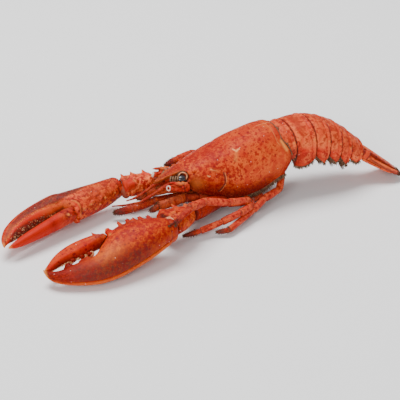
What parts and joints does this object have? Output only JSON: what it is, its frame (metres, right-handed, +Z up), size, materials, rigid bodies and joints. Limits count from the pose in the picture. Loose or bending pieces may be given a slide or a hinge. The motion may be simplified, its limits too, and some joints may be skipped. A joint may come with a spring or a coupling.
{
  "type": "cooked lobster",
  "caption": "Whole cooked lobster lying on its belly, claws stretched forward, legs folded and tail arched down to a closed fan.",
  "frame": {"origin": "centre of the bottom of the whole animal's box, on the ground", "axes": "+Y from the claws to the tail, +X to the animal's left, +Z up"},
  "size_m": [0.1286, 0.3662, 0.0672],
  "materials": {
    "shell": "satin cooked shell, orange-red with dark red mottling",
    "limb": "satin cooked shell of legs and arms, dark red to orange",
    "fringe": "matt brown hairs and paddles",
    "eye": "glossy dark grey eye",
    "membrane": "soft brownish skin between shell plates"
  },
  "bodies": {
    "root": {"antenna_base_left": "limb", "antenna_base_right": "limb", "antennule_left": "limb", "antennule_right": "limb", "carapace": "shell", "crusher_arm": "limb", "crusher_finger": "shell", "crusher_hand": "shell", "crusher_wrist": "limb", "cutter_arm": "limb", "cutter_finger": "shell", "cutter_hand": "shell", "cutter_wrist": "limb", "eye_left": "eye", "eye_right": "eye", "mouth_leg_left": "limb", "mouth_leg_right": "limb", "swimmeret_left_1": "fringe", "swimmeret_left_2": "fringe", "swimmeret_left_3": "fringe", "swimmeret_left_4": "fringe", "swimmeret_right_1": "fringe", "swimmeret_right_2": "fringe", "swimmeret_right_3": "fringe", "swimmeret_right_4": "fringe", "tail_ring_1": "shell", "tail_ring_2": "shell", "tail_ring_3": "shell", "tail_ring_4": "shell", "tail_ring_5": "shell", "tail_ring_6": "shell", "telson": "shell", "underbody": "membrane", "uropod_base_left": "shell", "uropod_base_right": "shell", "uropod_inner_left": "shell", "uropod_inner_right": "shell", "uropod_outer_left": "shell", "uropod_outer_right": "shell", "walking_leg_left_1": "limb", "walking_leg_left_2": "limb", "walking_leg_left_3": "limb", "walking_leg_left_4": "limb", "walking_leg_right_1": "limb", "walking_leg_right_2": "limb", "walking_leg_right_3": "limb", "walking_leg_right_4": "limb"}
  },
  "joints": []
}
